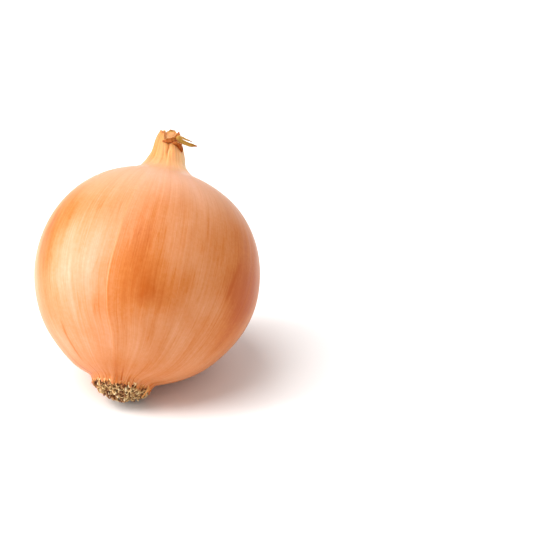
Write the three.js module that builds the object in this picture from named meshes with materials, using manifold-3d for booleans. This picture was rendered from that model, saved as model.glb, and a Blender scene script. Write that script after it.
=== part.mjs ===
// A whole brown onion in its dry skin, lying on its belly and on the edge of its root plate.
// Millimetres, +Z up. The origin is the middle of the flat spot under the belly; the neck leans towards +Y.
// It has three pieces: the bulb with its dry neck, the root plate with its trimmed roots, and the dried
// leaf ends that stand out of the neck's mouth.

import * as THREE from "three";
import { mergeVertices } from "three/addons/utils/BufferGeometryUtils.js";
import Module from "manifold-3d";

const wasm = await Module();
wasm.setup();

// Driving dimensions
const BELLY_R = 38; // the globe, half of its 76 mm width
const LEAN_DEG = 39; // the bulb's own axis from the vertical, as it lies
const SEAT_DEPTH = 37; // from the globe's centre down to the flat spot that it rests on
const SWELL = 2; // how far the globe swells to one side of the bulb's axis
const SWELL_DEG = 16;
const NECK_TIP = 52.6; // from the globe's centre to the highest skin of the neck
const NECK_RIM_R = 2.9;
const MOUTH_DEPTH = 8; // of the hollow in the end of the neck
const ROOT_R = 9.7; // the collar of skin round the root plate
const ROOT_REACH = 44; // from the globe's centre to the longest root end
const GAP = 0.3; // between a piece and its neighbour

// Relief of the skin
const SIDES = 96; // columns round the axis, two for each vein
const VEINS = 48;
const VEIN_HEIGHT = 0.13;
const SKIN_LAPS = [
  { at: 273, height: 0.55, fade: 26 },
  { at: 12, height: 0.5, fade: 34 },
  { at: 141, height: 0.45, fade: 22 },
]; // where one dry skin ends on the next: degrees round the axis, step in mm, degrees that it fades over
const LOBES = [
  { count: 2, height: 0.3, at: 40 },
  { count: 3, height: 0.22, at: 95 },
  { count: 5, height: 0.14, at: 10 },
]; // the globe's broad unevenness
const CHEEKS = [
  { at: 194, z: -29, out: 1.8, wide: 55, tall: 13 },
  { at: 345, z: -34, out: 2, wide: 40, tall: 7 },
]; // where the globe is fuller below: degrees round the axis and how wide, height in mm and how tall

// The neck's folds and its torn rim
const NECK_FOOT = 36; // where the shoulder turns up into the neck
const NECK_SHIFT = 1.5; // how far the neck's foot stands off the bulb's axis, towards +X
const NECK_PLEATS = [
  { count: 5, share: 0.05, twist: 0.05, at: 0 },
  { count: 8, share: 0.035, twist: -0.04, at: 70 },
  { count: 13, share: 0.02, twist: 0.03, at: 20 },
];
const RIM_SLOPE = 2; // how much lower the front of the neck's rim is than its back
const RIM_SLOPE_DEG = 300;
const RIM_GAP = { at: 270, depth: 3.4, before: 18, after: 125 }; // torn out, and the degrees to its ends
const RIM_TEETH = [
  { count: 7, height: 0.5, at: 131 },
  { count: 16, height: 0.3, at: 116 },
];

// Roots
const ROOT_COUNT = 92;
const ROOT_DOME = 4; // how much shorter the outer roots reach than the middle ones
const ROOT_THICK = 1.15;
const ROOT_SIDES = 5;
const ROOT_STEPS = 2;
const ROOT_SINK = 0.45; // of each root's foot in the plate
const PLATE_R = 8.9;
const PLATE_THICK = 1.6;

// Dried leaf ends: the way each one takes out of the mouth, and its width and thickness
const LEAF_SIDES = 6;
const LEAF_STEPS = 10;
const LEAF_ENDS = [
  {
    route: [[1.1, -0.4, 45.6], [1.9, -1.1, 48.2], [3.5, -2, 49.9], [6.6, -1, 48.6], [10.5, 1.5, 47.9]],
    width: 1.5,
    thick: 0.8,
  },
  {
    route: [[1.1, 0.1, 45.6], [1.7, -0.1, 48.8], [3.3, -0.6, 51.1], [5.6, -0.2, 50.4], [8.4, 1.3, 49.2]],
    width: 1.1,
    thick: 0.65,
  },
  {
    route: [[1, -0.9, 45.6], [1.4, -2.1, 48.2], [2.8, -4.3, 48.9], [4.8, -4.9, 47.3], [6.9, -3.9, 45.2]],
    width: 2,
    thick: 0.7,
  },
  {
    route: [[0.3, 0.3, 45.6], [0.1, 0.4, 48.5], [-0.3, 0.4, 50.2], [-0.8, 0.5, 51.4]],
    width: 1.1,
    thick: 0.65,
  },
  {
    route: [[1, 0.5, 45.6], [1.1, 0.6, 48.5], [1.2, 0.7, 50.4], [1.8, 0.9, 52]],
    width: 1.1,
    thick: 0.65,
  },
];

const rad = THREE.MathUtils.degToRad;

// From the bulb's own frame, where its axis is upright and goes through the root plate's middle, to the
// onion as it lies. The globe's centre comes to stand over the origin.
const lean = new THREE.Matrix4().makeRotationX(-rad(LEAN_DEG));
const globeCentre = new THREE.Vector3(SWELL, 0, 0).applyAxisAngle(new THREE.Vector3(0, 0, 1), rad(SWELL_DEG));
const centreHeight = new THREE.Vector3(0, 0, SEAT_DEPTH);
lean.setPosition(centreHeight.sub(globeCentre.applyMatrix4(lean)));
const unlean = lean.clone().invert();

// A repeatable stream of numbers from 0 to 1.
function randomStream(seed) {
  let state = seed;
  return () => {
    state = (state * 1664525 + 1013904223) % 4294967296;
    return state / 4294967296;
  };
}

function solidOf(geometry) {
  const bare = geometry.clone();
  bare.deleteAttribute("normal");
  bare.deleteAttribute("uv");
  const merged = mergeVertices(bare, 1e-4);
  return new wasm.Manifold(
    new wasm.Mesh({
      numProp: 3,
      vertProperties: new Float32Array(merged.attributes.position.array),
      triVerts: new Uint32Array(merged.index.array),
    }),
  );
}

function geometryOf(solid) {
  const mesh = solid.getMesh();
  return new THREE.BufferGeometry()
    .setAttribute("position", new THREE.BufferAttribute(mesh.vertProperties, 3))
    .setIndex(new THREE.BufferAttribute(mesh.triVerts, 1));
}

// Everything under the surface that the onion lies on, seen from the bulb's own frame.
function floorSlab() {
  const slab = new THREE.BoxGeometry(120, 120, 30).translate(0, 0, -15);
  return solidOf(slab.applyMatrix4(unlean));
}

// The outline that is turned round the axis, from the root seat up to the floor of the neck's mouth.
function bulbOutline() {
  const shoulder = new THREE.Vector2(13, 35.1);
  const seatZ = -BELLY_R;
  const collar = new THREE.QuadraticBezierCurve(
    new THREE.Vector2(ROOT_R, seatZ - 0.4),
    new THREE.Vector2(ROOT_R + 0.4, -36.9),
    new THREE.Vector2(12, -36),
  );
  const underside = new THREE.CubicBezierCurve(
    new THREE.Vector2(12, -36),
    new THREE.Vector2(24, -31),
    new THREE.Vector2(BELLY_R, -17.4),
    new THREE.Vector2(BELLY_R, 0),
  );
  const dome = new THREE.CubicBezierCurve(
    new THREE.Vector2(BELLY_R, 0),
    new THREE.Vector2(BELLY_R, 16.6),
    new THREE.Vector2(28.6, 30.4),
    shoulder,
  );
  const neck = new THREE.SplineCurve([
    shoulder,
    new THREE.Vector2(9.2, 37),
    new THREE.Vector2(6.8, 39.4),
    new THREE.Vector2(6.1, 41.2),
    new THREE.Vector2(5.75, 43.5),
    new THREE.Vector2(5.05, 46.6),
    new THREE.Vector2(4.1, 49.6),
    new THREE.Vector2(NECK_RIM_R, NECK_TIP),
  ]);
  const skin = [
    new THREE.Vector2(0, seatZ),
    new THREE.Vector2(ROOT_R - 0.7, seatZ),
    ...collar.getPoints(2),
    ...underside.getSpacedPoints(9).slice(1),
    ...dome.getSpacedPoints(8).slice(1),
    ...neck.getPoints(10).slice(1),
  ];
  const mouth = [
    new THREE.Vector2(NECK_RIM_R - 0.7, NECK_TIP - 0.3),
    new THREE.Vector2(NECK_RIM_R - 0.5, NECK_TIP - MOUTH_DEPTH),
    new THREE.Vector2(0, NECK_TIP - MOUTH_DEPTH),
  ];
  return { points: [...skin, ...mouth], rimRow: skin.length - 1 };
}

// The plain outline's radius at a height on the neck.
function neckRadius({ points, rimRow }, height) {
  const above = Math.min(rimRow, points.findIndex((q) => q.y >= height));
  const low = points[above - 1];
  const high = points[above];
  return THREE.MathUtils.mapLinear(height, low.y, high.y, low.x, high.x);
}

// How far the neck stands off the bulb's axis at a height: most at its foot.
function neckShift(height) {
  const onNeck = THREE.MathUtils.smoothstep(height, 30, 38);
  return NECK_SHIFT * onNeck * (1 - 0.75 * THREE.MathUtils.smoothstep(height, 40, 50));
}

// How far the skin stands in or out of the plain turned shape.
function skinRelief(degrees, radius, height) {
  const onGlobe = THREE.MathUtils.smoothstep(radius, ROOT_R, 26);
  let relief = onGlobe * SWELL * Math.cos(rad(degrees - SWELL_DEG));
  relief += VEIN_HEIGHT * Math.cos(VEINS * rad(degrees)) * THREE.MathUtils.smoothstep(radius, 2, 18);
  for (const lobe of LOBES) relief += onGlobe * lobe.height * Math.cos(lobe.count * rad(degrees - lobe.at));
  for (const lap of SKIN_LAPS) {
    const past = THREE.MathUtils.euclideanModulo(degrees - lap.at + 1, 360);
    relief += onGlobe * lap.height * Math.exp(-past / lap.fade);
  }
  for (const cheek of CHEEKS) {
    const aside = THREE.MathUtils.euclideanModulo(degrees - cheek.at + 180, 360) - 180;
    const near = Math.exp(-((aside / cheek.wide) ** 2) - ((height - cheek.z) / cheek.tall) ** 2);
    relief += cheek.out * near * THREE.MathUtils.smoothstep(radius, ROOT_R, 16);
  }
  return relief;
}

// The neck's pleats, as a share of its radius, growing from its foot to its rim.
function neckFold(degrees, height) {
  const up = THREE.MathUtils.smoothstep(height, NECK_FOOT, 44);
  let fold = 0;
  for (const pleat of NECK_PLEATS) {
    const turn = rad(degrees - pleat.at) + pleat.twist * height;
    fold += pleat.share * Math.cos(pleat.count * turn);
  }
  return up * fold;
}

// How much of the neck's end is missing at one side: it slopes to the front, and there it has a gap.
function rimLoss(degrees) {
  const past = THREE.MathUtils.euclideanModulo(degrees - RIM_GAP.at + 180, 360) - 180;
  const aside = past < 0 ? -past / RIM_GAP.before : past / RIM_GAP.after;
  let loss = RIM_GAP.depth * (1 - THREE.MathUtils.smoothstep(aside, 0, 1));
  loss += (RIM_SLOPE / 2) * (1 + Math.cos(rad(degrees - RIM_SLOPE_DEG)));
  for (const tooth of RIM_TEETH) {
    loss += (tooth.height / 2) * (1 + Math.cos(tooth.count * rad(degrees - tooth.at)));
  }
  return loss;
}

function bulb(floor) {
  const outline = bulbOutline();
  const turned = new THREE.LatheGeometry(outline.points, SIDES).rotateX(Math.PI / 2);
  const mouthFloor = NECK_TIP - MOUTH_DEPTH;
  const place = turned.attributes.position;
  const p = new THREE.Vector3();
  for (let i = 0; i < place.count; i++) {
    p.fromBufferAttribute(place, i);
    const radius = Math.hypot(p.x, p.y);
    if (radius > 1e-6) {
      const column = Math.round((Math.atan2(p.y, p.x) / (2 * Math.PI)) * SIDES + SIDES) % SIDES;
      const degrees = (360 / SIDES) * column;
      const onSkin = i % outline.points.length <= outline.rimRow;
      const relief = p.z > -BELLY_R + 0.01 ? skinRelief(degrees, radius, p.z) : 0;
      const fold = p.z > NECK_FOOT ? neckFold(degrees, p.z) : 0;
      if (onSkin || p.z > mouthFloor + 0.01) {
        p.z -= rimLoss(degrees) * THREE.MathUtils.smoothstep(p.z, mouthFloor - 3, NECK_TIP - 0.5);
      }
      const plain = onSkin && p.z > NECK_FOOT ? neckRadius(outline, p.z) : radius;
      const out = (plain + relief) * (1 + fold);
      p.x = (p.x / radius) * out + neckShift(p.z);
      p.y *= out / radius;
      place.setXYZ(i, p.x, p.y, p.z);
    }
  }
  return geometryOf(solidOf(turned).subtract(floor));
}

// How low the root plate's face lies at a radius: it is domed, and thin at its edge.
function plateFace(radius) {
  const rim = radius / PLATE_R;
  return -BELLY_R - GAP - PLATE_THICK * (1 - 0.65 * rim * rim);
}

// One trimmed root: a thin cone that curls a little, its foot sunk in the plate.
function rootStub(random, radius, turn) {
  const rim = radius / PLATE_R;
  const foot = plateFace(radius) + ROOT_SINK;
  const reach = ROOT_REACH - ROOT_DOME * rim * rim + plateFace(radius);
  const length = ROOT_SINK + reach * (0.6 + 0.4 * random());
  const thick = ROOT_THICK * (0.8 + 0.4 * random());
  const stub = new THREE.CylinderGeometry(thick * 0.34, thick * 0.5, length, ROOT_SIDES, ROOT_STEPS);
  stub.rotateX(-Math.PI / 2).translate(0, 0, -length / 2);
  const curl = 0.09 + 0.12 * random();
  const bendWay = 2 * Math.PI * random();
  const place = stub.attributes.position;
  for (let i = 0; i < place.count; i++) {
    const bend = (curl * place.getZ(i) ** 2) / 2;
    place.setX(i, place.getX(i) + bend * Math.cos(bendWay));
    place.setY(i, place.getY(i) + bend * Math.sin(bendWay));
  }
  stub.rotateZ(2 * Math.PI * random());
  stub.rotateY(0.1 * rim - 0.15 + 0.3 * random());
  return stub.translate(radius, 0, foot).rotateZ(turn);
}

function rootPlate(floor) {
  const outline = [new THREE.Vector2(0, plateFace(0))];
  for (const share of [0.35, 0.7, 1]) {
    outline.push(new THREE.Vector2(PLATE_R * share, plateFace(PLATE_R * share)));
  }
  outline.push(new THREE.Vector2(PLATE_R - 0.35, -BELLY_R - GAP));
  outline.push(new THREE.Vector2(0, -BELLY_R - GAP));
  const plate = new THREE.LatheGeometry(outline, 32).rotateX(Math.PI / 2);
  const random = randomStream(20);
  const goldenAngle = Math.PI * (3 - Math.sqrt(5));
  const pieces = [solidOf(plate)];
  for (let i = 0; i < ROOT_COUNT; i++) {
    const radius = (PLATE_R - 0.4) * Math.sqrt((i + 0.5) / ROOT_COUNT);
    pieces.push(solidOf(rootStub(random, radius, i * goldenAngle + 0.25 * random())));
  }
  return geometryOf(wasm.Manifold.union(pieces).subtract(floor));
}

// A dried leaf end: a flat strip along a curve, thin all the way and narrower towards its tip.
// It keeps its flat side square to the way it bends over.
function leafStrip({ route, width, thick }) {
  const curve = new THREE.CatmullRomCurve3(route.map((q) => new THREE.Vector3(...q)));
  const end = curve.getPoint(1).sub(curve.getPoint(0));
  const side = new THREE.Vector3(-end.y, end.x, 0).normalize();
  const strip = new THREE.CylinderGeometry(0.5, 0.5, 1, LEAF_SIDES, LEAF_STEPS).translate(0, 0.5, 0);
  const place = strip.attributes.position;
  for (let i = 0; i < place.count; i++) {
    const along = place.getY(i);
    const face = new THREE.Vector3().crossVectors(side, curve.getTangentAt(along)).normalize();
    const point = curve.getPointAt(along);
    point.addScaledVector(side, place.getX(i) * width * (1 - 0.5 * along * along));
    point.addScaledVector(face, place.getZ(i) * thick);
    place.setXYZ(i, point.x, point.y, point.z);
  }
  return strip;
}

function leafEnds() {
  const floor = NECK_TIP - MOUTH_DEPTH + GAP;
  const plugHeight = 1.4;
  const plug = new THREE.CylinderGeometry(1.15, 1.4, plugHeight, 12).rotateX(Math.PI / 2);
  plug.translate(neckShift(floor), 0, floor + plugHeight / 2);
  return geometryOf(wasm.Manifold.union([plug, ...LEAF_ENDS.map(leafStrip)].map(solidOf)));
}

function piece(name, geometry, color, roughness) {
  const mesh = new THREE.Mesh(geometry, new THREE.MeshStandardMaterial({ color, roughness, metalness: 0 }));
  mesh.name = name;
  return mesh;
}

const floor = floorSlab();
const onion = new THREE.Group();
onion.add(piece("bulb", bulb(floor), 0xdc8a52, 0.45));
onion.add(piece("root_plate", rootPlate(floor), 0xb89a68, 0.85));
onion.add(piece("leaf_ends", leafEnds(), 0x9c6a32, 0.7));
onion.applyMatrix4(lean);

const part = new THREE.Group();
part.add(onion);

export default part;
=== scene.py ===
# %% [markdown]
# # A brown onion in its dry skin
#
# An onion is a bulb of thick leaves wrapped in a few leaves that have dried to paper. The papery ones are what
# we see: coppery, satin, with fine veins that run from the roots to the neck like the lines on a globe. At the
# top they gather into a withered neck, and underneath they end in a collar round a cork-like plate of roots.
#
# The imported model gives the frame. The pieces made here take the place of its three plain solids.

import math
import random

import bmesh
import bpy
from mathutils import Matrix, Vector, noise


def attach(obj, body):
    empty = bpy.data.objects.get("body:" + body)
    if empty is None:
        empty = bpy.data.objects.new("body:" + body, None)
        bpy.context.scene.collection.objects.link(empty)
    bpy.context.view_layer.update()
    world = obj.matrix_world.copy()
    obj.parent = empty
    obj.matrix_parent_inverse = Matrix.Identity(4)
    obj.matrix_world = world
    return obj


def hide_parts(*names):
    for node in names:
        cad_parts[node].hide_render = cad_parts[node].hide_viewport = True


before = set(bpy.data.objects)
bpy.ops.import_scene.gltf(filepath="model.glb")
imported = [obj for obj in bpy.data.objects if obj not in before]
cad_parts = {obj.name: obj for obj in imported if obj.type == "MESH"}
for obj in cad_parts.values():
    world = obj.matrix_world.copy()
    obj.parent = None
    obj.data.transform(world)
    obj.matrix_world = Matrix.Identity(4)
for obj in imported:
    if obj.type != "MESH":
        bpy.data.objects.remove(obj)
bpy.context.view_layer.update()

# %% [markdown]
# The pieces are shaped in millimetres in the bulb's own frame, where its axis stands upright and the middle of
# the globe is the origin. One matrix then lays them down as the onion lies: leaning by 39 degrees, with the
# globe's centre over the middle of the flat spot, and in metres.

# %% From the bulb's own frame to the onion as it lies
MM = 0.001
BELLY_R = 38.0
LEAN = math.radians(39)
SEAT_DEPTH = 37.0
SWELL = 2.0
SWELL_AT = math.radians(16)

lean = Matrix.Rotation(-LEAN, 4, "X")
globe_centre = Vector((SWELL * math.cos(SWELL_AT), SWELL * math.sin(SWELL_AT), 0))
lie = Matrix.Scale(MM, 4) @ Matrix.Translation(Vector((0, 0, SEAT_DEPTH)) - lean @ globe_centre) @ lean
print("the root end comes to", [round(v, 4) for v in lie @ Vector((0, 0, -BELLY_R))])

# %% [markdown]
# ## Camera
#
# The picture was taken from about half a metre away with a longish lens, looking 27 degrees down. The onion
# stands left of the middle of the picture, so the camera is moved sideways until the globe's centre falls on
# its pixel. Nothing is shifted in the lens.

# %% Camera
IMAGE_PX = 550
GLOBE_PX = Vector((148, 276))
PX_PER_MM = 2.93
CAMERA_AWAY = 520.0
CAMERA_TURN = math.radians(15.3)
CAMERA_DOWN = math.radians(27)
SENSOR = 36.0

forward = Vector((
    -math.sin(CAMERA_TURN) * math.cos(CAMERA_DOWN),
    math.cos(CAMERA_TURN) * math.cos(CAMERA_DOWN),
    -math.sin(CAMERA_DOWN),
))
right = Vector((math.cos(CAMERA_TURN), math.sin(CAMERA_TURN), 0))
up = right.cross(forward)
middle = Vector((0, 0, SEAT_DEPTH))
off_px = Vector((GLOBE_PX.x - IMAGE_PX / 2, IMAGE_PX / 2 - GLOBE_PX.y))
eye = middle - forward * CAMERA_AWAY - (right * off_px.x + up * off_px.y) / PX_PER_MM

camera = bpy.data.objects.new("camera", bpy.data.cameras.new("camera"))
bpy.context.scene.collection.objects.link(camera)
camera.data.sensor_width = SENSOR
camera.data.lens = SENSOR * PX_PER_MM * CAMERA_AWAY / IMAGE_PX
camera.matrix_world = Matrix.Translation(eye * MM) @ Matrix((right, up, -forward)).transposed().to_4x4()
bpy.context.scene.camera = camera
print("lens", round(camera.data.lens, 1), "mm, eye", [round(v) for v in eye])

# %% [markdown]
# ## The outline of the bulb
#
# Cut along its axis, the bulb shows a collar at the roots, a globe that is a little slimmer below than above,
# and a neck that draws in to a torn mouth. Bezier curves and one spline draw that line from the same sizes as
# the solids. The points lie close together, because every fold of the skin is later a move of these points.

# %% Curves
def bezier_point(points, t):
    while len(points) > 1:
        points = [a.lerp(b, t) for a, b in zip(points, points[1:])]
    return points[0]


def spline_point(points, t):
    """A point on the smooth line through all the points, for t from 0 to 1."""
    place = t * (len(points) - 1)
    i = min(int(place), len(points) - 2)
    t = place - i
    before, start, end, after = (points[max(0, min(k, len(points) - 1))] for k in range(i - 1, i + 3))
    leave, arrive = (end - before) / 2, (after - start) / 2
    return (
        (2 * start - 2 * end + leave + arrive) * t**3
        + (-3 * start + 3 * end - 2 * leave - arrive) * t**2
        + leave * t
        + start
    )


def line(*places):
    return [Vector(place) for place in places]


print("half way on a spline:", [round(v, 2) for v in spline_point(line((0, 0), (1, 2), (2, 0)), 0.25)])

# %% Outline
ROOT_R = 9.7
NECK_TIP = 52.6
NECK_RIM_R = 2.9
NECK_WALL = 0.35
MOUTH_DEPTH = 8.0
MOUTH_FLOOR = NECK_TIP - MOUTH_DEPTH


def bulb_outline():
    """The line from the middle of the root end, up the outside, over the rim and down into the mouth."""
    shoulder = (13, 35.1)
    collar = line((ROOT_R, -BELLY_R - 0.4), (ROOT_R + 0.4, -36.9), (12, -36))
    underside = line((12, -36), (24, -31), (BELLY_R, -17.4), (BELLY_R, 0))
    dome = line((BELLY_R, 0), (BELLY_R, 16.6), (28.6, 30.4), shoulder)
    neck = line(
        shoulder, (9.2, 37), (6.8, 39.4), (6.1, 41.2), (5.75, 43.5), (5.05, 46.6), (4.1, 49.6), (NECK_RIM_R, NECK_TIP)
    )
    points = line((0, -BELLY_R), (ROOT_R - 0.7, -BELLY_R))
    points += [bezier_point(collar, k / 8) for k in range(9)]
    points += [bezier_point(underside, k / 44) for k in range(1, 45)]
    points += [bezier_point(dome, k / 36) for k in range(1, 37)]
    points += [spline_point(neck, k / 49) for k in range(1, 50)]
    rim = len(points) - 1
    points += [Vector((NECK_RIM_R - NECK_WALL, NECK_TIP - MOUTH_DEPTH * k / 12)) for k in range(13)]
    points.append(Vector((0, MOUTH_FLOOR)))
    return points, rim


outline, rim_row = bulb_outline()
print(len(outline), "points on the outline, the rim at", rim_row)

# %% [markdown]
# ## How the globe stands
#
# A grown thing is never quite round. The same few waves as in the solids make the globe uneven, and where one
# dry skin ends on the next there is a thin step. Finer ribs come on top of that: the veins, which noise makes
# unequal. Lengths are in millimetres, and directions are degrees round the axis.

# %% Steps, bells and waves
def smoothstep(value, low, high):
    t = max(0.0, min(1.0, (value - low) / (high - low)))
    return t * t * (3 - 2 * t)


def bell(distance):
    """1 where the distance is nothing, falling softly to about 0 at 2."""
    return math.exp(-(distance**2))


def wave(count, degrees):
    return math.cos(count * math.radians(degrees))


def past_degrees(degrees, at):
    """How far degrees lies past at, from -180 to 180."""
    return (degrees - at + 180) % 360 - 180


def vein_noise(degrees, along, fineness):
    """Noise that closes on itself round the axis: fineness sets how narrow it is, along where it is cut."""
    turn = math.radians(degrees)
    return noise.noise(Vector((math.cos(turn) * fineness, math.sin(turn) * fineness, along)))


print("20 degrees lies", past_degrees(20, 350), "past 350")

# %% Relief of the globe
# How many waves go round, how high they are, and where the first crest stands
LOBES = [(2, 0.3, 40), (3, 0.22, 95), (5, 0.14, 10)]
CHEEKS = [
    {"at": 194, "z": -29, "out": 1.8, "wide": 55, "tall": 13},
    {"at": 345, "z": -34, "out": 2.0, "wide": 40, "tall": 7},
]
# Where a skin ends, how thick its step is, and over how many degrees the step fades
SKIN_LAPS = [(272, 0.055, 26), (11, 0.05, 34), (140, 0.045, 22)]
LAP_MIDDLE = -8.0
LAP_REACH = 14.0
COLLAR_PLEAT = 0.22
VEIN_HEIGHT = 0.055


def skin_relief(degrees, radius, height):
    """How far the skin stands out from the outline."""
    relief = SWELL * math.cos(math.radians(degrees) - SWELL_AT)
    relief += sum(size * wave(count, degrees - at) for count, size, at in LOBES)
    steps = sum(step * math.exp(-((degrees - edge) % 360) / fade) for edge, step, fade in SKIN_LAPS)
    relief += steps * bell((height - LAP_MIDDLE) / LAP_REACH)
    relief *= smoothstep(radius, ROOT_R, 26)
    for cheek in CHEEKS:
        aside = past_degrees(degrees, cheek["at"]) / cheek["wide"]
        near = bell(aside) * bell((height - cheek["z"]) / cheek["tall"])
        relief += cheek["out"] * near * smoothstep(radius, ROOT_R, 16)
    by_collar = smoothstep(-height, 34, 37) * smoothstep(radius, 9, 9.6)
    relief += COLLAR_PLEAT * by_collar * vein_noise(degrees, 5.5, 11)
    veins = vein_noise(degrees, height / 60, 9) + 0.6 * vein_noise(degrees, height / 50 + 7, 26)
    return relief + VEIN_HEIGHT * veins * smoothstep(radius, 2, 14)


print("the belly stands out by", [round(skin_relief(turn, BELLY_R, 0), 2) for turn in range(0, 360, 60)], "mm")

# %% [markdown]
# ## How the neck stands
#
# The neck is the same skins, withered and pleated. It stands a little aside of the axis, spreads to the left at
# its foot, and has one deep crease in front. Its rim was torn when it dried: lower in front, with small teeth.
# At the other end the collar is split into teeth by the roots.

# %% Folds of the neck
NECK_FOOT = 36.0
NECK_SHIFT = 1.5
# How many pleats go round, their share of the radius, their twist, and where the first one stands
NECK_PLEATS = [(5, 0.014, 0.05, 0), (8, 0.012, -0.04, 70), (13, 0.009, 0.03, 20), (29, 0.008, 0.01, 0)]
NECK_CREASE = {"at": 284, "wide": 4.0, "deep": 0.05, "sway": 2.0}
NECK_FLARE = {"at": 195, "z": 39.8, "out": 1.1, "wide": 60, "tall": 2.8}
FLARE_FROM = 30.0


def neck_radius(height):
    """The outline's radius at a height on the neck."""
    neck = [p for p in outline[: rim_row + 1] if p.y > NECK_FOOT - 3]
    for low, high in zip(neck, neck[1:]):
        if height <= high.y:
            share = max(0.0, (height - low.y) / (high.y - low.y))
            return low.x + (high.x - low.x) * share
    return neck[-1].x


def neck_shift(height):
    """How far the neck stands off the bulb's axis: most at its foot."""
    return NECK_SHIFT * smoothstep(height, 30, 38) * (1 - 0.75 * smoothstep(height, 40, 50))


def neck_crease(degrees, height):
    at = NECK_CREASE["at"] + NECK_CREASE["sway"] * math.sin(height * 1.3)
    return bell(past_degrees(degrees, at) / NECK_CREASE["wide"]) * smoothstep(height, 40, 43)


def neck_flare(degrees, height):
    aside = past_degrees(degrees, NECK_FLARE["at"]) / NECK_FLARE["wide"]
    return NECK_FLARE["out"] * bell(aside) * bell((height - NECK_FLARE["z"]) / NECK_FLARE["tall"])


def neck_fold(degrees, height):
    """The share of the radius by which pleats and crease move the neck's wall."""
    fold = sum(
        share * math.cos(count * math.radians(degrees - at) + twist * height * count)
        for count, share, twist, at in NECK_PLEATS
    )
    fold -= NECK_CREASE["deep"] * neck_crease(degrees, height)
    return smoothstep(height, NECK_FOOT, 44) * fold


print("the neck is", round(2 * neck_radius(42), 1), "mm across at 42 mm up")

# %% Torn rim and split collar
RIM_SLOPE = {"at": 300, "deep": 2.0}
RIM_GAP = {"at": 270, "depth": 3.4, "before": 18, "after": 125}
# How many teeth go round, how deep they are, and where the first gap is
RIM_TEETH = [(7, 0.5, 131), (16, 0.3, 116)]
RIM_RAGS = 0.5
WHOLE_RIM = {"at": 208, "wide": 38}
COLLAR_TOOTH = 1.7


def rim_height(degrees):
    past = past_degrees(degrees, RIM_GAP["at"])
    aside = past / RIM_GAP["after"] if past > 0 else -past / RIM_GAP["before"]
    loss = RIM_GAP["depth"] * (1 - smoothstep(aside, 0, 1))
    loss += RIM_SLOPE["deep"] / 2 * (1 + wave(1, degrees - RIM_SLOPE["at"]))
    loss += sum(size / 2 * (1 + wave(count, degrees - at)) for count, size, at in RIM_TEETH)
    return NECK_TIP - loss - RIM_RAGS * abs(vein_noise(degrees, 3.3, 7))


def torn_rim_and_crease_shade(degrees, height):
    """How brown the neck is: at the torn rim, most in front, and a little in the crease as painted shade."""
    front = 0.5 + 0.5 * wave(1, degrees - RIM_SLOPE["at"])
    below_rim = max(0.0, rim_height(degrees) - height)
    whole = bell(past_degrees(degrees, WHOLE_RIM["at"]) / WHOLE_RIM["wide"])
    torn = bell(below_rim / (0.3 + 0.4 * front)) * (0.7 + 0.3 * front) * (1 - 0.85 * whole)
    # The crease's share is painted shade
    return min(1.0, torn + 0.25 * neck_crease(degrees, height))


def collar_tooth(degrees):
    return COLLAR_TOOTH * max(0.0, 0.35 + 1.3 * vein_noise(degrees, 9.1, 8)) ** 1.4


print("the rim stands", [round(rim_height(turn), 1) for turn in range(0, 360, 45)], "mm up, every 45 degrees")

# %% [markdown]
# ## Where the colour is deeper
#
# Dry skin is deeper where two skins lie on each other, past the edge of a lap. Painted shade darkens it more: a
# thin painted shadow along each lap's step, painted shade in creases, and painted shade in the folds where it is
# gathered towards the roots. Noise alone would put that anywhere, so the large deeper and paler bands are soft
# clouds, some of them painted highlight and shade, and the noise in the material only breaks them up.

# %% Clouds of colour
# Direction, latitude, half width and half height in degrees, and strength: below 0 is deeper, above is paler
TONE_PATCHES = [
    (291, -15, 12, 14, -0.22),
    (281, -18, 7, 15, -0.05),
    (266, -28, 3, 9, -0.06),
    (287, 8, 10, 16, -0.07),
    (300, -2, 8, 16, -0.05),
    (308, -26, 5, 13, -0.04),
    (320, -32, 4, 9, -0.08),
    # Partly the skin's own deeper copper, partly painted shade on the right side
    (350, -6, 17, 32, -0.42),
    (229, 6, 8, 34, -0.2),
    # Painted highlight: these two pale clouds stand where the left light shines
    (250, -8, 12, 34, 0.16),
    (262, -5, 7, 18, 0.16),
    (312, 26, 10, 20, 0.06),
    (312, -33, 10, 8, 0.09),
    (238, -14, 12, 22, 0.05),
    (243, 21, 12, 9, -0.13),
    (262, 18, 8, 8, -0.04),
    (302, 50, 28, 12, 0.08),
    (296, 18, 6, 12, 0.05),
    (303, -20, 8, 8, -0.05),
    (320, -40, 6, 8, 0.07),
    (231, 8, 9, 12, -0.05),
    (262, -22, 8, 8, 0.06),
    (282, 11, 10, 9, -0.13),
    (283, 0, 7, 7, -0.06),
    (285, -38, 12, 12, -0.03),
    (313, -8, 7, 6, -0.12),
    (269, -28, 6, 6, -0.06),
    (331, -17, 8, 7, 0.14),
    (298, -28, 8, 6, 0.08),
    (318, 15, 9, 12, -0.12),
    (205, 58, 30, 10, -0.15),
    (240, -52, 34, 14, 0.1),
    # Painted shade, low on the front above the roots
    (285, -64, 40, 9, -0.12),
    # Painted top light, paler across the top of the shoulder
    (285, 54, 75, 16, 0.06),
    (285, 87, 60, 4, -0.16),
    (350, 79, 45, 8, 0.24),
    (60, 10, 20, 25, -0.2),
    (105, -15, 14, 30, 0.14),
    (160, 5, 22, 24, -0.28),
    (198, -20, 12, 30, 0.1),
]


def cloud_tone(degrees, latitude):
    return sum(
        strength * bell(past_degrees(degrees, at) / wide) * bell((latitude - lat) / tall)
        for at, lat, wide, tall, strength in TONE_PATCHES
    )


print(len(TONE_PATCHES), "clouds, the deepest", min(patch[-1] for patch in TONE_PATCHES))

# %% Laps, creases and gathers
LAP_TONE = 0.14
# Strength of the thin painted shadow along the step at each lap's edge
LAP_STEP_SHADOW = 0.12
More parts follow.
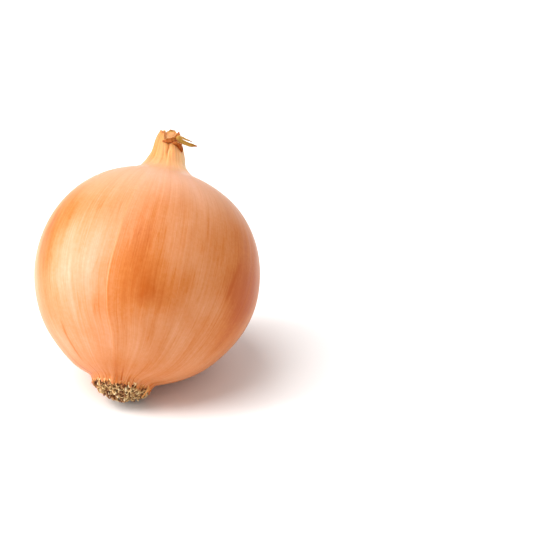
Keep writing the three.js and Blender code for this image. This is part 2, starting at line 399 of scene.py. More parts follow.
# Thin dark lines of painted shade in creases of the skin. Direction, upper and lower end in degrees of latitude, and
# strength
PAINTED_CREASE_SHADES = [
    (234, -38, -64, -0.3),
    (264, -22, -35, -0.08),
    (251, -30, -48, -0.12),
    (318, 8, 30, -0.04),
    (300, -20, -45, -0.1),
    (339, 10, -12, -0.12),
    (221, 12, -8, -0.12),
    (20, -50, -68, -0.3),
    (75, -20, -45, -0.2),
    (130, 20, -10, -0.2),
    (172, -45, -68, -0.3),
]
CREASE_SLANT = 0.1
CREASE_WOBBLE = 0.6
GATHER_SHADE = 0.75


def lap_tone(degrees, latitude):
    """A thin painted shadow line along the step at a lap's edge, and past it the deeper colour of two skins."""
    tone = 0.0
    for edge, _, fade in SKIN_LAPS:
        past = (degrees - edge) % 360
        shown = bell((latitude + 18) / 17) * (0.4 + 0.6 * smoothstep(past, 1.5, 7))
        tone -= LAP_TONE * math.exp(-past / fade) * shown
        # Painted shadow of the step, just past the lap's edge
        tone -= LAP_STEP_SHADOW * bell(past - 1.2) * bell((latitude + 24) / 11)
    return tone


# Painted shade: thin dark lines where creases of the skin would hold shade
def painted_crease_shade(degrees, latitude):
    tone = 0.0
    for at, high, low, strength in PAINTED_CREASE_SHADES:
        centre, half = (high + low) / 2, abs(high - low) / 2
        crooked = CREASE_SLANT * (latitude - centre) + CREASE_WOBBLE * math.sin(latitude / 5 + at)
        shown = 1 - smoothstep(abs(latitude - centre), half * 0.5, half * 1.2)
        tone += strength * shown * bell(past_degrees(degrees, at + crooked))
    return tone


# Painted shade: dark streaks in the folds where the skin gathers towards the roots
def painted_gather_shade(degrees, latitude):
    gathers = max(0.0, vein_noise(degrees, 13.3, 34))
    starts = 60 + 12 * vein_noise(degrees, 2.1, 12)
    return -GATHER_SHADE * gathers * smoothstep(-latitude, starts, 76)


def skin_tone(degrees, latitude):
    return (
        cloud_tone(degrees, latitude)
        + lap_tone(degrees, latitude)
        + painted_crease_shade(degrees, latitude)
        + painted_gather_shade(degrees, latitude)
    )


print("tone on the front:", [round(skin_tone(285, latitude), 2) for latitude in (45, 0, -15, -45)])

# %% [markdown]
# ## Turning the skin
#
# The outline is spun once round the axis, as a turner would make it, and the points are then moved by the
# relief. Each point also keeps a few numbers for the paint: which way it looks round the axis and how far up
# it is, how deep its colour is, how near a torn edge it lies, and whether it is inside the mouth.

# %% Spin the outline
COLUMNS = 288


def new_layer(bm, name):
    return bm.verts.layers.float.new(name)


def spin_outline(points, steps):
    """Spin a line of points round the axis, and keep each point's row."""
    bm = bmesh.new()
    row = new_layer(bm, "row")
    verts = [bm.verts.new((p.x, 0, p.y)) for p in points]
    for i, vert in enumerate(verts):
        vert[row] = i
    edges = [bm.edges.new(pair) for pair in zip(verts, verts[1:])]
    bmesh.ops.spin(
        bm, geom=verts + edges, cent=(0, 0, 0), axis=(0, 0, 1), angle=2 * math.pi, steps=steps, use_merge=True
    )
    bmesh.ops.remove_doubles(bm, verts=bm.verts, dist=1e-5)
    bmesh.ops.recalc_face_normals(bm, faces=bm.faces)
    return bm


skin_mesh = spin_outline(outline, COLUMNS)
print("skin:", len(skin_mesh.verts), "points,", len(skin_mesh.faces), "faces")

# %% Where each point goes
CROWD_REACH = 6.0
WANDER = 1.6
FRONT_LAP = {"at": 272, "wide": 25, "slant": 3.0, "curl": 2.6}
COLLAR_ROWS = 6


def crowd_to_laps(degrees):
    """Draw the columns near a skin's edge together, so that its thin step stays sharp."""
    for edge, _, _ in SKIN_LAPS:
        aside = past_degrees(degrees, edge)
        if abs(aside) < CROWD_REACH:
            return edge + math.copysign(CROWD_REACH * (aside / CROWD_REACH) ** 2, aside)
    return degrees


def stray(degrees, radius, z):
    """By how many degrees a vein strays from straight up. Round the front lap it leans, and curls in below."""
    wander = WANDER * math.sin(z / 12 + 2 * math.sin(math.radians(degrees))) * smoothstep(radius, 8, 24)
    lean_right = FRONT_LAP["slant"] * smoothstep(z, -14, 8) + FRONT_LAP["curl"] * smoothstep(-z, 18, 27)
    return wander + lean_right * bell(past_degrees(degrees, FRONT_LAP["at"]) / FRONT_LAP["wide"])


def outer_place(degrees, radius, z, row):
    """The radius and height that the folds give a point on the outside."""
    r = radius
    h = z - (NECK_TIP - rim_height(degrees)) * smoothstep(z, MOUTH_FLOOR - 3, NECK_TIP - 0.5)
    if z > NECK_FOOT:
        r = neck_radius(h) * (1 + neck_fold(degrees, h))
    if z > FLARE_FROM:
        r += neck_flare(degrees, h)
    if row > 1:
        r += skin_relief(degrees, radius, z)
        h -= collar_tooth(degrees) * (1 - smoothstep(row, 2, 2 + COLLAR_ROWS))
    return r, h


def mouth_place(degrees, z):
    """The same for a point in the mouth, one wall's thickness inside."""
    h = MOUTH_FLOOR + (z - MOUTH_FLOOR) * (rim_height(degrees) - MOUTH_FLOOR) / MOUTH_DEPTH
    return neck_radius(h) * (1 + neck_fold(degrees, h)) - NECK_WALL, h


print("the veins stray by", [round(stray(turn, BELLY_R, 0), 1) for turn in range(0, 360, 60)], "degrees")

# %% Fold the skin
PAINT_NUMBERS = ("way_x", "way_y", "way_up", "tone", "torn", "inside")


def fold_skin(bm):
    row = bm.verts.layers.float["row"]
    layers = [new_layer(bm, name) for name in PAINT_NUMBERS]
    for vert in bm.verts:
        x, y, z = vert.co
        radius = math.hypot(x, y)
        on_axis = radius <= 1e-6
        column = 0 if on_axis else round(math.atan2(y, x) / (2 * math.pi) * COLUMNS) % COLUMNS
        degrees = 360 / COLUMNS * column
        inside = vert[row] > rim_row
        r, h = radius, z
        if not on_axis:
            r, h = mouth_place(degrees, z) if inside else outer_place(degrees, radius, z, vert[row])
        turn = math.radians(crowd_to_laps(degrees) + stray(degrees, radius, z))
        vert.co = (r * math.cos(turn) + neck_shift(h), r * math.sin(turn), h)
        values = (
            math.cos(math.radians(degrees)),
            math.sin(math.radians(degrees)),
            z / BELLY_R,
            skin_tone(degrees, math.degrees(math.atan2(z, radius))),
            torn_rim_and_crease_shade(degrees, h) if z > NECK_FOOT else 0.0,
            1.0 if inside else 0.0,
        )
        for layer, value in zip(layers, values):
            vert[layer] = value


fold_skin(skin_mesh)
print("the skin reaches up to", round(max(vert.co.z for vert in skin_mesh.verts), 1), "mm on its axis")

# %% [markdown]
# Every piece is finished in the same way: it is laid down with the matrix, pressed flat where it would pass
# through the surface it lies on, shaded smooth, hung from the body, and the solid it stands for is hidden.


# %% Finish a piece
def finish_piece(bm, name, node_name, material):
    bmesh.ops.transform(bm, matrix=lie, verts=bm.verts)
    for vert in bm.verts:
        vert.co.z = max(vert.co.z, 0.0)
    for face in bm.faces:
        face.smooth = True
    mesh = bpy.data.meshes.new(name)
    bm.to_mesh(mesh)
    bm.free()
    mesh.materials.append(material)
    piece = bpy.data.objects.new(name, mesh)
    bpy.context.scene.collection.objects.link(piece)
    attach(piece, "root")
    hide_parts(node_name)
    low, high = (Vector(f(v.co[k] for v in mesh.vertices) for k in range(3)) for f in (min, max))
    print(name, len(mesh.polygons), "faces,", [round(v * 1000, 1) for v in high - low], "mm")


# %% [markdown]
# ## Paint
#
# Colours are written as they look on a screen and turned to the linear light that Blender works in. One small
# function adds a node with its settings and its links.


# %% Colours and nodes
def colour(code):
    parts = [int(code[i : i + 2], 16) / 255 for i in (1, 3, 5)]
    return tuple(c / 12.92 if c <= 0.04045 else ((c + 0.055) / 1.055) ** 2.4 for c in parts) + (1.0,)


def add_node(tree, kind, inputs=None, stops=None, **settings):
    new = tree.nodes.new(kind)
    for name, value in settings.items():
        setattr(new, name, value)
    for name, value in (inputs or {}).items():
        if isinstance(value, bpy.types.NodeSocket):
            tree.links.new(value, new.inputs[name])
        else:
            new.inputs[name].default_value = value
    if stops:
        ramp = new.color_ramp.elements
        while len(ramp) < len(stops):
            ramp.new(0.5)
        for stop, (place, code) in zip(ramp, stops):
            stop.position = place
            stop.color = colour(code)
    return new


def new_material(name):
    material = bpy.data.materials.new(name)
    material.use_nodes = True
    material.node_tree.nodes.clear()
    return material, material.node_tree


def close_material(tree, shader):
    add_node(tree, "ShaderNodeOutputMaterial", {"Surface": shader})


print("copper is", [round(v, 3) for v in colour("#d97237")])

# %% [markdown]
# ## Dry onion skin
#
# Dried onion leaf is a thin film of plant fibre, coloured yellow to copper-brown by quercetin. It is smooth
# enough for a broad satin shine, and it lets a little light through into the white flesh under it, which
# warms it from inside. Veins about half a millimetre apart run up it, and bands of deeper colour follow them.
#
# The noise is stretched along the veins by reading the direction round the axis instead of the place, so the
# lines close up by themselves towards the roots and the neck. Its sizes are those on the belly.

# %% Patterns of the skin
# How far apart and how long the streaks are in millimetres, and how much finer detail their noise has
STREAKS = {
    "bands": {"apart": 8.44, "long": 34.5, "detail": 2.0},
    "ribs": {"apart": 1.9, "long": 23.75, "detail": 2.0},
    "veins": {"apart": 0.447, "long": 17.3, "detail": 1.0},
    "lines": {"apart": 1.118, "long": 29.2, "detail": 0.0},
}
CLOUD_MM = 11.9
PORES_PER_METRE = 900.0  # one about every millimetre
LINE_SHARE = 0.035


def to_belly(size):
    """How many of a size go into the belly's radius, which is 1 in the noise's space."""
    return round(BELLY_R / size, 1)


def streaks(tree, way, apart, long, detail):
    scale = (to_belly(apart), to_belly(apart), to_belly(long))
    stretched = add_node(tree, "ShaderNodeMapping", {"Vector": way, "Scale": scale})
    return add_node(
        tree, "ShaderNodeTexNoise", {"Vector": stretched.outputs[0], "Scale": 1.0, "Detail": detail}
    ).outputs["Fac"]


def sum_of(tree, *terms):
    """Add values, each by its share."""
    total = 0.0
    for value, share in terms:
        term = add_node(tree, "ShaderNodeMath", {0: value, 1: share, 2: total}, operation="MULTIPLY_ADD")
        total = term.outputs[0]
    return total


def skin_patterns(tree, way):
    patterns = {name: streaks(tree, way, **sizes) for name, sizes in STREAKS.items()}
    patterns["clouds"] = add_node(
        tree, "ShaderNodeTexNoise", {"Vector": way, "Scale": to_belly(CLOUD_MM), "Detail": 3.0}
    ).outputs["Fac"]
    place = add_node(tree, "ShaderNodeTexCoord")
    patterns["pores"] = add_node(
        tree, "ShaderNodeTexNoise",
        {"Vector": place.outputs["Object"], "Scale": PORES_PER_METRE, "Detail": 2.0, "Roughness": 0.6},
    ).outputs["Fac"]
    crest = add_node(tree, "ShaderNodeMath", {0: patterns["lines"], 1: 0.5}, operation="SUBTRACT")
    aside = add_node(tree, "ShaderNodeMath", {0: crest.outputs[0]}, operation="ABSOLUTE")
    patterns["lines"] = add_node(
        tree, "ShaderNodeMapRange",
        {"Value": aside.outputs[0], "From Min": 0.0, "From Max": LINE_SHARE, "To Min": 1.0, "To Max": 0.0},
    ).outputs[0]
    return patterns


print("veins to the belly's radius:", to_belly(STREAKS["veins"]["apart"]))

# %% [markdown]
# The globe's colour runs from copper, where the tone is deep, to a pale peach, with a painted pale sheen on the
# shoulder where the light from above falls. The neck is straw: yellower and darker at the left, where the left
# light falls strongest, and paler at the right as painted light standing in for light through the thin skin. The
# torn rim is burnt brown, and inside the mouth the young skins are pale, painted lighter still to stand in for
# light through the thin wall.

# %% Colours of the skin
COPPER_TO_PEACH = [
    (0.0, "#b04e0c"), (0.14, "#b75b1b"), (0.32, "#c67336"), (0.52, "#d18b5c"), (0.7, "#dd9e7c"), (0.92, "#eabba2"),
]
# The yellow straw on the neck's left is kept darker where the left light falls strongest
YELLOW_STRAW = [(0.3, "#b07a3c"), (0.5, "#c48f56"), (0.75, "#d2a46a")]
# Painted light: the paler straw on the neck's right stands in for light passing through the thin skin
LIT_PALE_STRAW = [(0.25, "#d2843e"), (0.5, "#e6a66a"), (0.75, "#f4c48c")]
# Painted sheen, laid over the shoulder where the light from above falls
PAINTED_TOP_SHEEN = "#e6b69a"
BURNT = "#96420f"
# Partly the inner skins' own paler colour, partly painted light standing in for light through the thin neck wall
PALE_AND_LIT_INSIDE = "#f6b87c"
TONE_OFFSET = 0.08
NECK_BEGINS, NECK_IS_FULL = 0.86, 1.1  # as shares of the belly's radius


def globe_colour(tree, numbers, patterns):
    depth = sum_of(
        tree,
        (numbers["tone"], 1.0),
        (patterns["bands"], 0.4),
        (patterns["clouds"], 0.22),
        (patterns["ribs"], 0.16),
        (patterns["veins"], 0.18),
        (patterns["lines"], -0.08),
        (patterns["pores"], 0.16),
    )
    depth = add_node(tree, "ShaderNodeMath", {0: depth, 1: TONE_OFFSET}, operation="SUBTRACT")
    skin = add_node(tree, "ShaderNodeValToRGB", {"Fac": depth.outputs[0]}, stops=COPPER_TO_PEACH)
    # Painted sheen, strongest high on the shoulder
    painted_sheen_share = add_node(
        tree, "ShaderNodeMapRange", {"Value": numbers["way_up"], "From Min": 0.4, "From Max": 0.88, "To Max": 0.44},
        interpolation_type="SMOOTHSTEP",
    )
    return add_node(
        tree, "ShaderNodeMix", {0: painted_sheen_share.outputs[0], 6: skin.outputs[0], 7: colour(PAINTED_TOP_SHEEN)}, data_type="RGBA"
    ).outputs[2]


def neck_colour(tree, numbers, patterns):
    depth = sum_of(
        tree, (patterns["ribs"], 0.5), (patterns["veins"], 0.5), (patterns["lines"], -0.12), (numbers["tone"], 1.0)
    )
    yellow = add_node(tree, "ShaderNodeValToRGB", {"Fac": depth}, stops=YELLOW_STRAW)
    pale = add_node(tree, "ShaderNodeValToRGB", {"Fac": depth}, stops=LIT_PALE_STRAW)
    # Painted light grows towards the neck's right side
    painted_light_to_right = add_node(
        tree, "ShaderNodeMapRange", {"Value": numbers["way_x"], "From Min": -0.75, "From Max": 0.35},
        interpolation_type="SMOOTHSTEP",
    )
    return add_node(
        tree, "ShaderNodeMix", {0: painted_light_to_right.outputs[0], 6: yellow.outputs[0], 7: pale.outputs[0]}, data_type="RGBA"
    ).outputs[2]


def skin_colour(tree, numbers, patterns):
    on_neck = add_node(
        tree, "ShaderNodeMapRange", {"Value": numbers["way_up"], "From Min": NECK_BEGINS, "From Max": NECK_IS_FULL},
        interpolation_type="SMOOTHSTEP",
    )
    seen = globe_colour(tree, numbers, patterns)
    for share, over in (
        (on_neck.outputs[0], neck_colour(tree, numbers, patterns)),
        (numbers["torn"], colour(BURNT)),
        (numbers["inside"], colour(PALE_AND_LIT_INSIDE)),
    ):
        seen = add_node(tree, "ShaderNodeMix", {0: share, 6: seen, 7: over}, data_type="RGBA").outputs[2]
    return seen


print(len(COPPER_TO_PEACH), "stops from copper to peach")


# %% Dry onion skin
def dry_onion_skin():
    material, tree = new_material("dry_onion_skin")
    numbers = {
        name: add_node(tree, "ShaderNodeAttribute", attribute_name=name).outputs["Fac"] for name in PAINT_NUMBERS
    }
    way = add_node(tree, "ShaderNodeCombineXYZ", {0: numbers["way_x"], 1: numbers["way_y"], 2: numbers["way_up"]})
    patterns = skin_patterns(tree, way.outputs[0])
    height = sum_of(tree, (patterns["ribs"], 0.5), (patterns["veins"], 0.5))
    relief = add_node(tree, "ShaderNodeBump", {"Height": height, "Strength": 0.2, "Distance": 0.0003})
    gloss = add_node(
        tree, "ShaderNodeMapRange",
        {"Value": patterns["ribs"], "From Min": 0.3, "From Max": 0.7, "To Min": 0.3, "To Max": 0.42},
    )
    # The thin dry neck lets more light through than the skin on the globe
    lets_through = add_node(
        tree, "ShaderNodeMapRange",
        {
            "Value": numbers["way_up"], "From Min": NECK_BEGINS, "From Max": NECK_IS_FULL,
            "To Min": 0.15, "To Max": 0.6,
        },
    )
    shader = add_node(
        tree, "ShaderNodeBsdfPrincipled",
        {
            "Base Color": skin_colour(tree, numbers, patterns),
            "Roughness": gloss.outputs[0],
            "Normal": relief.outputs[0],
            "Subsurface Weight": lets_through.outputs[0],
            "Subsurface Radius": (1.0, 0.45, 0.2),
            "Subsurface Scale": 0.002,
            "IOR": 1.35,
            "Specular IOR Level": 0.3,
        },
    )
    close_material(tree, shader.outputs[0])
    return material


finish_piece(skin_mesh, "outer_skin", "bulb", dry_onion_skin())

# %% [markdown]
# ## Rods to bend
#
# Roots, leaf ends and slivers of skin are all thin rods or strips that bend. One rod is made once: a cone
# shape with even ends, cut across into short lengths. It is then laid along any line, as wide and as thick
# as wanted at each place. The rod for the roots has few faces, because it is laid hundreds of times.


# %% One rod
def make_rod(sides, cuts):
    bm = bmesh.new()
    bmesh.ops.create_cone(bm, cap_ends=True, segments=sides, radius1=0.5, radius2=0.5, depth=1)
    upright = [edge for edge in bm.edges if abs(edge.verts[0].co.z - edge.verts[1].co.z) > 0.5]
    bmesh.ops.subdivide_edges(bm, edges=upright, cuts=cuts)
    bmesh.ops.translate(bm, verts=bm.verts, vec=(0, 0, 0.5))
    mesh = bpy.data.meshes.new("rod")
    bm.to_mesh(mesh)
    bm.free()
    return mesh


root_rod = make_rod(sides=5, cuts=7)
leaf_rod = make_rod(sides=14, cuts=28)
print("root rod", len(root_rod.polygons), "faces, leaf rod", len(leaf_rod.polygons), "faces")


# %% Lay a rod
# The vector noise that crumples a rod takes its offsets from the clock unless it has a seed
CRUMPLE_SEED = 1
noise.seed_set(CRUMPLE_SEED)


def lay_rod(bm, rod, route, side, width, thick, taper, values, cup=0.0, crumple=0.0):
    """Lay a copy of the rod along route: taper(t) scales its section, and values(t, across) fill the layers.

    cup bends the section into a trough, and crumple shakes it by noise.
    """
    start = len(bm.verts)
    bm.from_mesh(rod)
    bm.verts.ensure_lookup_table()
    for vert in bm.verts[start:]:
        t = max(0.0, min(1.0, vert.co.z))
        point = spline_point(route, t)
        ahead = (spline_point(route, min(1, t + 0.02)) - spline_point(route, max(0, t - 0.02))).normalized()
        across = (side - ahead * side.dot(ahead)).normalized()
        face = ahead.cross(across)
        wide = width * taper(t)
        at = vert.co.x
        deep = vert.co.y * thick * taper(t) + cup * wide * (2 * at) ** 2
        vert.co = point + across * at * wide + face * deep
        if crumple:
            vert.co += crumple * (noise.noise_vector(vert.co * 1.2) + 0.4 * noise.noise_vector(vert.co * 3.5))
        for layer, value in values.items():
            vert[layer] = value(t, at)


# %% [markdown]
# ## Root plate and roots
#
# The roots were trimmed when the onion was cleaned, and what is left of them has dried and curled into a tight
# nest of little beige hooks on a dark corky plate. The plate is a shallow dome, spun like the bulb. The hooks
# are placed by the golden angle, which spreads them evenly, and chance gives each its own length, lean, bend
# and colour.

# %% Dried root
ROOT_COLOURS = [(0.1, "#66351a"), (0.35, "#9c6638"), (0.6, "#cca56c"), (0.82, "#e4c892"), (1.0, "#f2e0b6")]
GRAINS_PER_METRE = 1400.0  # one every 0.7 mm


def dried_root():
    """Dead root fibre: matt, from brown to straw as the tone says, with a fine grain."""
    material, tree = new_material("dried_root")
    tone = add_node(tree, "ShaderNodeAttribute", attribute_name="tone")
    place = add_node(tree, "ShaderNodeTexCoord")
    grain = add_node(
        tree, "ShaderNodeTexNoise", {"Vector": place.outputs["Object"], "Scale": GRAINS_PER_METRE, "Detail": 2.0}
    )
    depth = sum_of(tree, (tone.outputs["Fac"], 1.0), (grain.outputs["Fac"], 0.3))
    shade = add_node(tree, "ShaderNodeValToRGB", {"Fac": depth}, stops=ROOT_COLOURS)
    relief = add_node(
        tree, "ShaderNodeBump", {"Height": grain.outputs["Fac"], "Strength": 0.4, "Distance": 0.0002}
    )
    shader = add_node(
        tree, "ShaderNodeBsdfPrincipled",
        {"Base Color": shade.outputs[0], "Roughness": 0.8, "Normal": relief.outputs[0]},
    )
    close_material(tree, shader.outputs[0])
    return material


root_material = dried_root()
print("the roots have", len(root_material.node_tree.nodes), "nodes")

# %% Root plate
GAP = 0.3
PLATE_R = 8.9
PLATE_THICK = 1.6
PLATE_BUMPS = 0.25
PLATE_TONE = -0.05


def plate_face(radius):
    rim = radius / PLATE_R
    return -BELLY_R - GAP - PLATE_THICK * (1 - 0.65 * rim * rim)


def spin_plate():
    top = -BELLY_R - GAP
    points = line((0, plate_face(0)))
    points += [Vector((PLATE_R * k / 10, plate_face(PLATE_R * k / 10))) for k in range(1, 11)]
    points += line((PLATE_R - 0.35, top), (0, top))
    bm = spin_outline(points, 64)
    tone = new_layer(bm, "tone")
    for vert in bm.verts:
        vert.co.z += PLATE_BUMPS * noise.noise(vert.co * 0.9) * smoothstep(top - vert.co.z, 0, 0.3)
        vert[tone] = PLATE_TONE
    return bm


finish_piece(spin_plate(), "root_plate_cork", "root_plate", root_material)

# %% Trimmed roots
ROOT_COUNT = 430
ROOT_REACH = 44.0
ROOT_DOME = 4.0
ROOT_SINK = 0.45
GOLDEN_ANGLE = math.pi * (3 - math.sqrt(5))
# For each bend: the share of the length ahead, and of the hook aside and down, where below 0 is back up
HOOK_BENDS = [(0.5, -0.25, 0), (0.35, 0.1, 0), (0.15, 0.75, 0), (0.0, 0.7, -0.45), (0.0, 0.05, -0.7)]


def root_route(chance, foot, out, rim, reach):
    """A root that leans a little, goes down, and ends in a hook."""
    spin = chance.uniform(0, 2 * math.pi)
    bend = Vector((math.cos(spin), math.sin(spin), 0))
    lean_way = Vector((chance.uniform(-1, 1), chance.uniform(-1, 1), 0)) * 0.3 + out * 0.12 * rim**3
    hook = chance.uniform(0.35, 0.95)
    down = Vector((0, 0, -1))
    length = (ROOT_SINK + reach) * chance.uniform(0.5, 1.0)
    points = [foot]
    for ahead, aside, fall in HOOK_BENDS:
        points.append(points[-1] + (down + lean_way) * length * ahead + bend * hook * aside + down * hook * fall)
    return points, Vector((-bend.y, bend.x, 0))


def grow_roots():
    chance = random.Random(20)
    bm = bmesh.new()
    tone = new_layer(bm, "tone")
    for i in range(ROOT_COUNT):
        radius = PLATE_R * math.sqrt((i + 0.5) / ROOT_COUNT)
        rim = radius / PLATE_R
        turn = i * GOLDEN_ANGLE + 0.5 * chance.random()
        out = Vector((math.cos(turn), math.sin(turn), 0))
        foot = out * radius + Vector((0, 0, plate_face(radius) + ROOT_SINK))
        reach = ROOT_REACH - ROOT_DOME * rim * rim + plate_face(radius)
        route, side = root_route(chance, foot, out, rim, reach)
        thick = chance.uniform(0.5, 0.9)
        # Roots near the plate's middle, deepest in the nest, are painted darker as shade; each also differs at random
        shade = min(1.0, max(0.1, chance.gauss(0.4 + 0.2 * rim, 0.26)))
        lay_rod(
            bm, root_rod, route, side, thick, thick * 0.85,
            lambda t: 1 - 0.4 * t * t if t < 0.95 else 0.3,
            # Painted shade: each root darker towards its foot, where the nest shades it
            {tone: lambda t, at: shade * smoothstep(t, -0.35, 0.75) - 0.1},
        )
    bmesh.ops.recalc_face_normals(bm, faces=bm.faces)
    return bm


finish_piece(grow_roots(), "trimmed_roots", "root_plate", root_material)

# %% [markdown]
# Where the skin meets the roots it is split by them into a fringe of small straw-coloured slivers. One broader
# flap has curled away on the right.

# %% Fringe of the collar
SLIVER_COUNT = 130
SLIVER_FOOT = -37.5
SLIVER_COLOURS = [(0.0, "#a8561c"), (0.35, "#d98c40"), (0.7, "#efbf78"), (1.0, "#f6dba8")]
FLAP_AT = 352
# Radius, place aside and height
FLAP_ROUTE = [(10.2, 0, -37), (9.9, 0, -38.6), (9.3, -0.2, -40), (8.6, -0.5, -41.6)]


def dry_sliver():
    """The skin's own film where it is torn thin: straw, and a little shiny."""
    material, tree = new_material("dry_skin_sliver")
    tone = add_node(tree, "ShaderNodeAttribute", attribute_name="tone")
    shade = add_node(tree, "ShaderNodeValToRGB", {"Fac": tone.outputs["Fac"]}, stops=SLIVER_COLOURS)
    shader = add_node(tree, "ShaderNodeBsdfPrincipled", {"Base Color": shade.outputs[0], "Roughness": 0.6})
    close_material(tree, shader.outputs[0])
    return material


def out_and_aside(turn):
    return Vector((math.cos(turn), math.sin(turn), 0)), Vector((-math.sin(turn), math.cos(turn), 0))


def split_collar():
    chance = random.Random(7)
    bm = bmesh.new()
    tone = new_layer(bm, "tone")
    for i in range(SLIVER_COUNT):
        out, side = out_and_aside(2 * math.pi * (i + chance.uniform(-0.4, 0.4)) / SLIVER_COUNT)
        long = chance.uniform(0.7, 2.3)
        flare = chance.uniform(-0.5, 0.5)
        swing = side * chance.uniform(-0.8, 0.8)
        start = out * (ROOT_R + 0.15) + Vector((0, 0, SLIVER_FOOT))
        route = [
            start,
            start + Vector((0, 0, -0.35 * long)) + out * 0.05 + swing * 0.2,
            start + Vector((0, 0, -0.7 * long)) + out * (0.1 + 0.4 * flare) + swing * 0.5,
            start + Vector((0, 0, -long)) + out * flare + swing,
        ]
        shade = chance.uniform(0.25, 1.1)
        lay_rod(
            bm, root_rod, route, side, chance.uniform(0.5, 1.0), 0.16, lambda t: 1 - 0.8 * t,
            {tone: lambda t, at: shade - 0.35 * t},
        )
    out, side = out_and_aside(math.radians(FLAP_AT))
    route = [out * r + side * aside + Vector((0, 0, z)) for r, aside, z in FLAP_ROUTE]
    lay_rod(
        bm, leaf_rod, route, side, 2.2, 0.3, lambda t: 1 - 0.65 * t, {tone: lambda t, at: 0.42 - 0.25 * at}, cup=0.1
    )
    bmesh.ops.recalc_face_normals(bm, faces=bm.faces)
    return bm


finish_piece(split_collar(), "collar_fringe", "bulb", dry_sliver())

# %% [markdown]
# ## Dried leaf ends
#
# The green leaves were cut off above the neck, and what is left of the inner ones has dried. Two olive strips
# stand out to the right, a brown shred hangs over the front of the rim, and two wider skins line the back of
# the mouth, pale with a brown edge. The torn front of the rim itself has rolled into a crumpled brown lip.
#
# Each is a strip with a route of its own, cupped and crumpled, narrow where it comes out of the mouth and drawn
# in and browner at its end. Hue goes from 0, brown, over olive near 0.45, to 0.7, a pale peach.

# %% The strips
OLIVE_STRIP = {
    "route": [
        (1.9, -0.9, 45.8), (3.0, -1.8, 48.0), (4.4, -2.1, 48.5), (5.9, -1.3, 47.8), (7.9, -0.2, 47.4),
        (10.5, 1.5, 47.7),
    ],
    "side": (0.1, 0.3, 1), "width": 1.95, "thick": 0.5,
    "cup": 0.2, "crumple": 0.08, "foot": 0.2, "tip": 0.75, "hue": 0.44,
}
THIN_OLIVE_STRIP = {
    "route": [
        (1.9, 0.2, 46), (2.8, -0.6, 48.3), (3.8, -1.2, 49.5), (5.0, -0.7, 49.6), (6.4, 0.1, 49.3),
        (8.6, 1.4, 49.0),
    ],
    "side": (0, 0.3, 1), "width": 1.05, "thick": 0.45,
    "cup": 0.2, "crumple": 0.08, "foot": 0.4, "tip": 0.65, "hue": 0.48,
}
BROWN_SHRED = {
    "route": [(2.6, -3.4, 45.8), (3.7, -4.4, 46.1), (5.1, -4.4, 45.9), (6.1, -3.3, 45.1), (6.7, -1.9, 44.0)],
    "side": (0.5, -0.5, 0.7), "width": 1.6, "thick": 0.35,
    "cup": -0.3, "crumple": 0.3, "foot": 0.35, "tip": 1, "hue": 0.15,
}
# Partly the inner skin's own pale colour, partly painted light: peach, standing in for light through the thin wall
PALE_BACK = {
    "route": [(0.5, 1.6, 45.0), (0.4, 2.1, 48.0), (0.3, 2.4, 50.4), (0.2, 2.1, 52.8)],
    "side": (1, 0.2, -0.1), "width": 5.0, "thick": 0.3,
    "cup": 0.1, "crumple": 0.25, "foot": 1, "tip": 0.9, "hue": 0.66,
}
BROWN_BACK = {
    "route": [(2.1, 0.9, 45.0), (2.2, 1.4, 48.0), (2.5, 1.5, 50.0), (3.1, 1.3, 52.0)],
    "side": (1, -0.6, -0.3), "width": 3.2, "thick": 0.3,
    "cup": 0.12, "crumple": 0.25, "foot": 1, "tip": 0.8, "hue": 0.2,
}
LEAF_ENDS = [OLIVE_STRIP, THIN_OLIVE_STRIP, BROWN_SHRED, PALE_BACK, BROWN_BACK]
LIP_ROUTE = [(0.2, -5.1, 46.2), (1.1, -5.1, 46.4), (2.3, -4.7, 46.9), (3.4, -4.0, 47.6), (4.2, -3.2, 48.3)]
print(len(LEAF_ENDS), "strips, the widest", max(leaf["width"] for leaf in LEAF_ENDS), "mm")

# %% [markdown]
# Dried leaf is dull and fibrous. The fibres run the long way, so their noise reads how far along and across the
# strip a point lies, and small spots break the colour.

# %% Dried leaf
LEAF_COLOURS = [
    (0.25, "#6f2a08"), (0.42, "#a8541a"), (0.62, "#96661f"), (0.76, "#b5893c"), (0.88, "#eba766"), (1.0, "#ffc892"),
]
SPOTS_PER_METRE = 700.0  # one every 1.4 mm
LEAF_NUMBERS = ("tone", "along", "across")


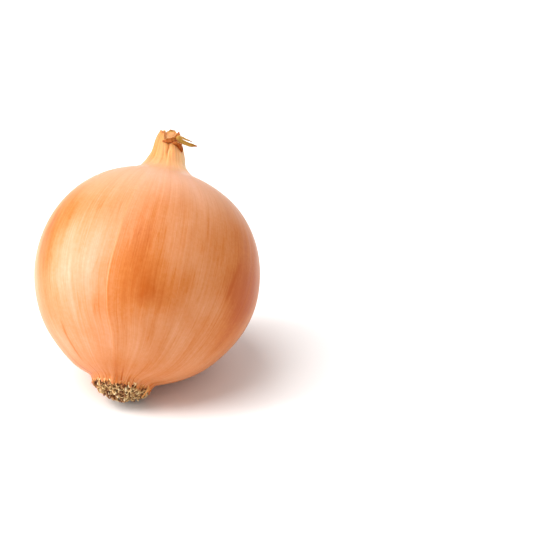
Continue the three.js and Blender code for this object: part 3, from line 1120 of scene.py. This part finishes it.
def dried_leaf():
    material, tree = new_material("dried_leaf")
    numbers = {
        name: add_node(tree, "ShaderNodeAttribute", attribute_name=name).outputs["Fac"] for name in LEAF_NUMBERS
    }
    place = add_node(tree, "ShaderNodeTexCoord")
    spots = add_node(
        tree, "ShaderNodeTexNoise", {"Vector": place.outputs["Object"], "Scale": SPOTS_PER_METRE, "Detail": 2.0}
    )
    lengthwise = add_node(
        tree, "ShaderNodeCombineXYZ", {0: numbers["across"], 1: numbers["along"], 2: numbers["tone"]}
    )
    stretched = add_node(tree, "ShaderNodeMapping", {"Vector": lengthwise.outputs[0], "Scale": (9, 2.5, 9)})
    fibres = add_node(tree, "ShaderNodeTexNoise", {"Vector": stretched.outputs[0], "Scale": 1.0, "Detail": 3.0})
    depth = sum_of(tree, (numbers["tone"], 1.0), (spots.outputs["Fac"], 0.2), (fibres.outputs["Fac"], 0.35))
    shade = add_node(tree, "ShaderNodeValToRGB", {"Fac": depth}, stops=LEAF_COLOURS)
    relief = add_node(
        tree, "ShaderNodeBump", {"Height": fibres.outputs["Fac"], "Strength": 0.5, "Distance": 0.0002}
    )
    shader = add_node(
        tree, "ShaderNodeBsdfPrincipled",
        {
            "Base Color": shade.outputs[0],
            "Roughness": 0.6,
            "Normal": relief.outputs[0],
            "Specular IOR Level": 0.2,
            "Subsurface Weight": 0.2,
            "Subsurface Radius": (1.0, 0.6, 0.3),
            "Subsurface Scale": 0.0006,
        },
    )
    close_material(tree, shader.outputs[0])
    return material


leaf_material = dried_leaf()
print("the leaf ends have", len(leaf_material.node_tree.nodes), "nodes")


# %% Lay the leaf ends
def leaf_taper(t, foot, tip):
    """Narrow at the foot, full by half way, and drawn in at the end."""
    grown = foot + (1 - foot) * smoothstep(t, 0.1, 0.5)
    return grown * (1 - (1 - tip) * t) * (1 - 0.75 * smoothstep(t, 0.82, 1.02))


def lay_leaf_ends():
    bm = bmesh.new()
    tone, along, across = (new_layer(bm, name) for name in LEAF_NUMBERS)
    for i, leaf in enumerate(LEAF_ENDS):
        lay_rod(
            bm, leaf_rod, line(*leaf["route"]), Vector(leaf["side"]).normalized(), leaf["width"], leaf["thick"],
            lambda t: leaf_taper(t, leaf["foot"], leaf["tip"]),
            {
                tone: lambda t, at: leaf["hue"] * (1 - 0.65 * smoothstep(t, 0.82, 1)),
                along: lambda t, at: 3 * t + 5 * i,
                across: lambda t, at: at,
            },
            cup=leaf["cup"], crumple=leaf["crumple"],
        )
    lay_rod(
        bm, leaf_rod, line(*LIP_ROUTE), Vector((0, 0.3, 1)), 1.7, 0.4,
        lambda t: 0.3 + 0.7 * math.sin(math.pi * t),
        {tone: lambda t, at: 0.12 + 0.1 * t, along: lambda t, at: 4 * t + 40, across: lambda t, at: at},
        cup=0.2, crumple=0.3,
    )
    bmesh.ops.recalc_face_normals(bm, faces=bm.faces)
    return bm


finish_piece(lay_leaf_ends(), "dried_leaf_ends", "leaf_ends", leaf_material)

# %% [markdown]
# ## Surface and light
#
# The onion lies on a white sweep. A tall soft light stands close on the left and a little in front, and gives
# the long pale shine on that side. A wide one hangs above, a little to the left and in front. The white
# surroundings fill the rest.

# %% Floor
FLOOR_HALF = 6.0

floor_mesh = bmesh.new()
bmesh.ops.create_grid(floor_mesh, x_segments=1, y_segments=1, size=FLOOR_HALF)
floor_data = bpy.data.meshes.new("floor")
floor_mesh.to_mesh(floor_data)
floor_mesh.free()
# Matt white paper gives soft light back from below and shows no gloss
floor_material, floor_tree = new_material("white_paper_sweep")
floor_shader = add_node(
    floor_tree, "ShaderNodeBsdfPrincipled",
    {"Base Color": colour("#fbf9f8"), "Roughness": 0.9, "Specular IOR Level": 0.1},
)
close_material(floor_tree, floor_shader.outputs[0])
floor_data.materials.append(floor_material)
floor = bpy.data.objects.new("floor", floor_data)
bpy.context.scene.collection.objects.link(floor)
print("the floor is", 2 * FLOOR_HALF, "m wide")


# %% Lights and surroundings
def soft_light(name, way, distance, size, size_y, power):
    """An area light at way (right, up, towards the camera) from the globe, facing it."""
    data = bpy.data.lights.new(name, "AREA")
    data.shape = "RECTANGLE"
    data.size = size
    data.size_y = size_y
    data.energy = power
    light = bpy.data.objects.new(name, data)
    towards = (right * way[0] + up * way[1] - forward * way[2]).normalized()
    light.location = middle * MM + towards * distance
    light.rotation_euler = towards.to_track_quat("Z", "Y").to_euler()
    bpy.context.scene.collection.objects.link(light)


soft_light("left_softbox", (-0.95, 0.25, 0.3), distance=1.3, size=0.6, size_y=1.8, power=22.4)
soft_light("overhead_softbox", (-0.35, 0.86, 0.6), distance=1.8, size=1.4, size_y=1.4, power=29.5)

world = bpy.data.worlds.new("white_studio")
world.use_nodes = True
world.node_tree.nodes["Background"].inputs["Color"].default_value = colour("#ffffff")
world.node_tree.nodes["Background"].inputs["Strength"].default_value = 0.6
bpy.context.scene.world = world
bpy.context.scene.view_settings.view_transform = "Standard"
bpy.context.scene.view_settings.look = "None"
